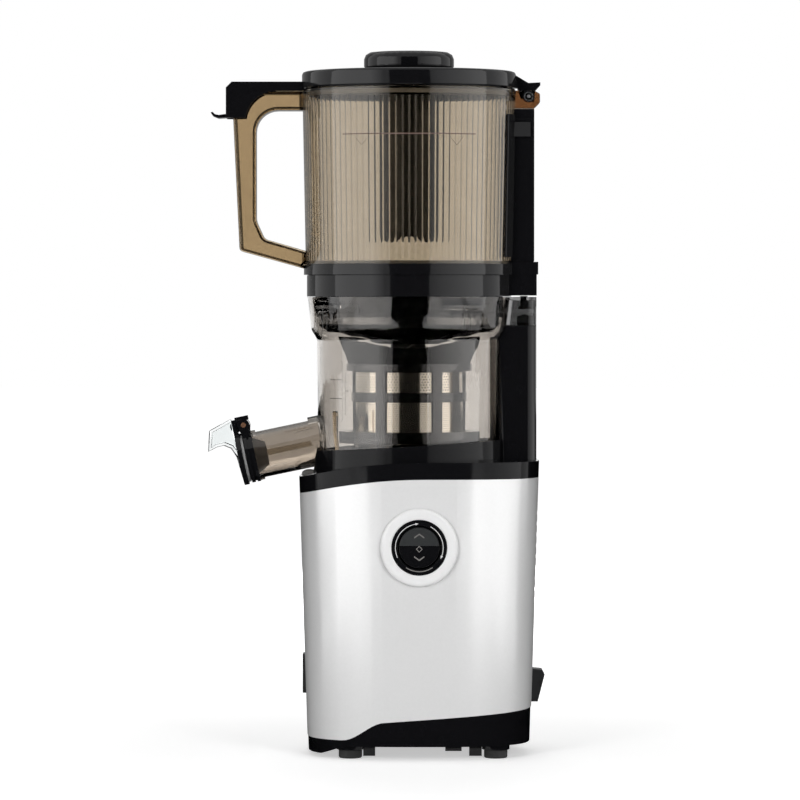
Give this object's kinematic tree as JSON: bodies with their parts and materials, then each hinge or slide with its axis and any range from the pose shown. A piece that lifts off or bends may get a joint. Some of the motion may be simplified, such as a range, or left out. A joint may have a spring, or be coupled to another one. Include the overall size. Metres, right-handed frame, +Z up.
{
  "type": "cold press juicer",
  "caption": "Upright slow juicer with a geared motor base, a clear drum with screw and strainer, a capped spout, a wide hopper and a hinged lid with a pusher.",
  "frame": {"origin": "on the table, under the drive axis", "axes": "+Z up the drive axis, -X towards the spout and handle, -Y towards the control"},
  "size_m": [0.2319, 0.176, 0.4824],
  "materials": {
    "white_shell": "smooth glossy white",
    "black_gloss": "polished black",
    "black_satin": "satin black",
    "smoke_clear": "smoke-tinted clear plastic",
    "amber_clear": "amber-tinted clear plastic",
    "clear_hood": "clear plastic",
    "rubber_black": "matt black rubber",
    "silicone_grey": "grey silicone",
    "strainer_grey": "satin dark grey",
    "steel": "fine brushed",
    "pin_brown": "brown plastic",
    "auger_dark": "satin near black",
    "motor_steel": "zinc grey",
    "magnet": "ferrite",
    "winding": "copper windings on steel",
    "cast_alloy": "as cast",
    "gear_nylon": "natural nylon",
    "grey_plastic": "moulded grey",
    "board_green": "printed board with parts"
  },
  "bodies": {
    "base": {"housing": "white_shell", "top_collar": "black_gloss", "column": "black_gloss", "column_cap": "smoke_clear", "base_cover": "black_gloss", "feet": "rubber_black", "base_screws": "steel", "control_bezel": "white_shell", "control_ring": "black_gloss", "switch_body": "black_satin", "circuit_board": "board_green", "spout_rest": "silicone_grey", "motor_can": "motor_steel", "motor_magnets": "magnet", "motor_endcap": "grey_plastic", "motor_bearings": "steel", "gearbox_housing": "cast_alloy", "ring_gear": "gear_nylon", "gearbox_cover": "cast_alloy", "output_bearing": "steel", "shaft_seal": "rubber_black", "interlock_switch": "grey_plastic", "power_switch_body": "black_satin", "cord_outlet": "black_satin"},
    "rocker": {"rocker": "black_satin"},
    "power_rocker": {"power_rocker": "black_satin"},
    "plunger": {"interlock_plunger": "grey_plastic"},
    "rotor": {"motor_shaft": "steel", "armature": "winding", "motor_fan": "grey_plastic"},
    "carrier": {"drive_shaft": "steel"},
    "planet_1": {"planet_gear_1": "gear_nylon"},
    "planet_2": {"planet_gear_2": "gear_nylon"},
    "planet_3": {"planet_gear_3": "gear_nylon"},
    "drum": {"drum": "smoke_clear", "spout": "amber_clear", "spout_bezel": "black_gloss", "pulp_chute": "smoke_clear", "drum_seal": "rubber_black", "strainer_frame": "strainer_grey", "strainer_mesh": "steel", "cap_pin": "pin_brown"},
    "cap": {"cap_plate": "black_gloss", "cap_seal": "silicone_grey", "cap_handle": "clear_hood"},
    "auger": {"screw": "auger_dark", "screw_socket": "steel"},
    "hopper": {"hopper_bowl": "amber_clear", "hopper_handle": "amber_clear", "hopper_ring": "black_gloss", "hopper_spine": "black_gloss", "feed_funnel": "black_gloss", "hopper_seal": "silicone_grey", "hinge_pin": "steel"},
    "lid": {"lid": "black_gloss", "lid_gasket": "silicone_grey"},
    "latch": {"latch_lever": "black_gloss"},
    "pusher": {"pusher_knob": "black_gloss", "pusher_tube": "black_gloss"}
  },
  "joints": [
    {"name": "drum_lift", "type": "slide", "parent": "base", "child": "drum", "axis": [0, 0, 1], "range_m": [0, 0.12]},
    {"name": "hopper_turn", "type": "hinge", "parent": "drum", "child": "hopper", "pos_m": [0, 0, 0], "axis": [0, 0, 1], "range_deg": [-25, 0]},
    {"name": "lid_hinge", "type": "hinge", "parent": "hopper", "child": "lid", "pos_m": [0.0821, 0, 0.4514], "axis": [0, 1, 0], "range_deg": [0, 100]},
    {"name": "pusher_slide", "type": "slide", "parent": "lid", "child": "pusher", "axis": [0, 0, 1], "range_m": [0, 0.115]},
    {"name": "latch_tilt", "type": "hinge", "parent": "lid", "child": "latch", "pos_m": [-0.1242, 0, 0.4414], "axis": [0, 1, 0], "range_deg": [-12, 0], "stiffness_Nm_per_rad": 0.05},
    {"name": "cap_hinge", "type": "hinge", "parent": "drum", "child": "cap", "pos_m": [-0.11397, 0, 0.22565], "axis": [0, 1, 0], "range_deg": [0, 75]},
    {"name": "auger_spin", "type": "hinge", "parent": "drum", "child": "auger", "pos_m": [0, 0, 0], "axis": [0, 0, 1], "continuous": true},
    {"name": "drive_spin", "type": "hinge", "parent": "base", "child": "carrier", "pos_m": [0, 0, 0], "axis": [0, 0, 1], "continuous": true},
    {"name": "rotor_spin", "type": "hinge", "parent": "base", "child": "rotor", "pos_m": [0, 0, 0], "axis": [0, 0, 1], "continuous": true},
    {"name": "planet_1_spin", "type": "hinge", "parent": "carrier", "child": "planet_1", "pos_m": [0.01875, 0, 0.12], "axis": [0, 0, 1], "continuous": true},
    {"name": "planet_2_spin", "type": "hinge", "parent": "carrier", "child": "planet_2", "pos_m": [-0.00937, 0.01624, 0.12], "axis": [0, 0, 1], "continuous": true},
    {"name": "planet_3_spin", "type": "hinge", "parent": "carrier", "child": "planet_3", "pos_m": [-0.00937, -0.01624, 0.12], "axis": [0, 0, 1], "continuous": true},
    {"name": "rocker_tilt", "type": "hinge", "parent": "base", "child": "rocker", "pos_m": [0.0068, -0.07, 0.1445], "axis": [1, 0, 0], "range_deg": [-8, 8], "stiffness_Nm_per_rad": 0.05},
    {"name": "power_tilt", "type": "hinge", "parent": "base", "child": "power_rocker", "pos_m": [-0.0664, 0, 0.0544], "axis": [0, 1, 0], "range_deg": [-8, 8]},
    {"name": "plunger_press", "type": "slide", "parent": "base", "child": "plunger", "axis": [0, 0, 1], "range_m": [-0.003, 0], "stiffness_N_per_m": 120}
  ],
  "couplings": [
    {"joint": "drive_spin", "follows": "auger_spin", "ratio": 1},
    {"joint": "rotor_spin", "follows": "auger_spin", "ratio": 5},
    {"joint": "planet_1_spin", "follows": "auger_spin", "ratio": -2.6667},
    {"joint": "planet_2_spin", "follows": "auger_spin", "ratio": -2.6667},
    {"joint": "planet_3_spin", "follows": "auger_spin", "ratio": -2.6667}
  ]
}
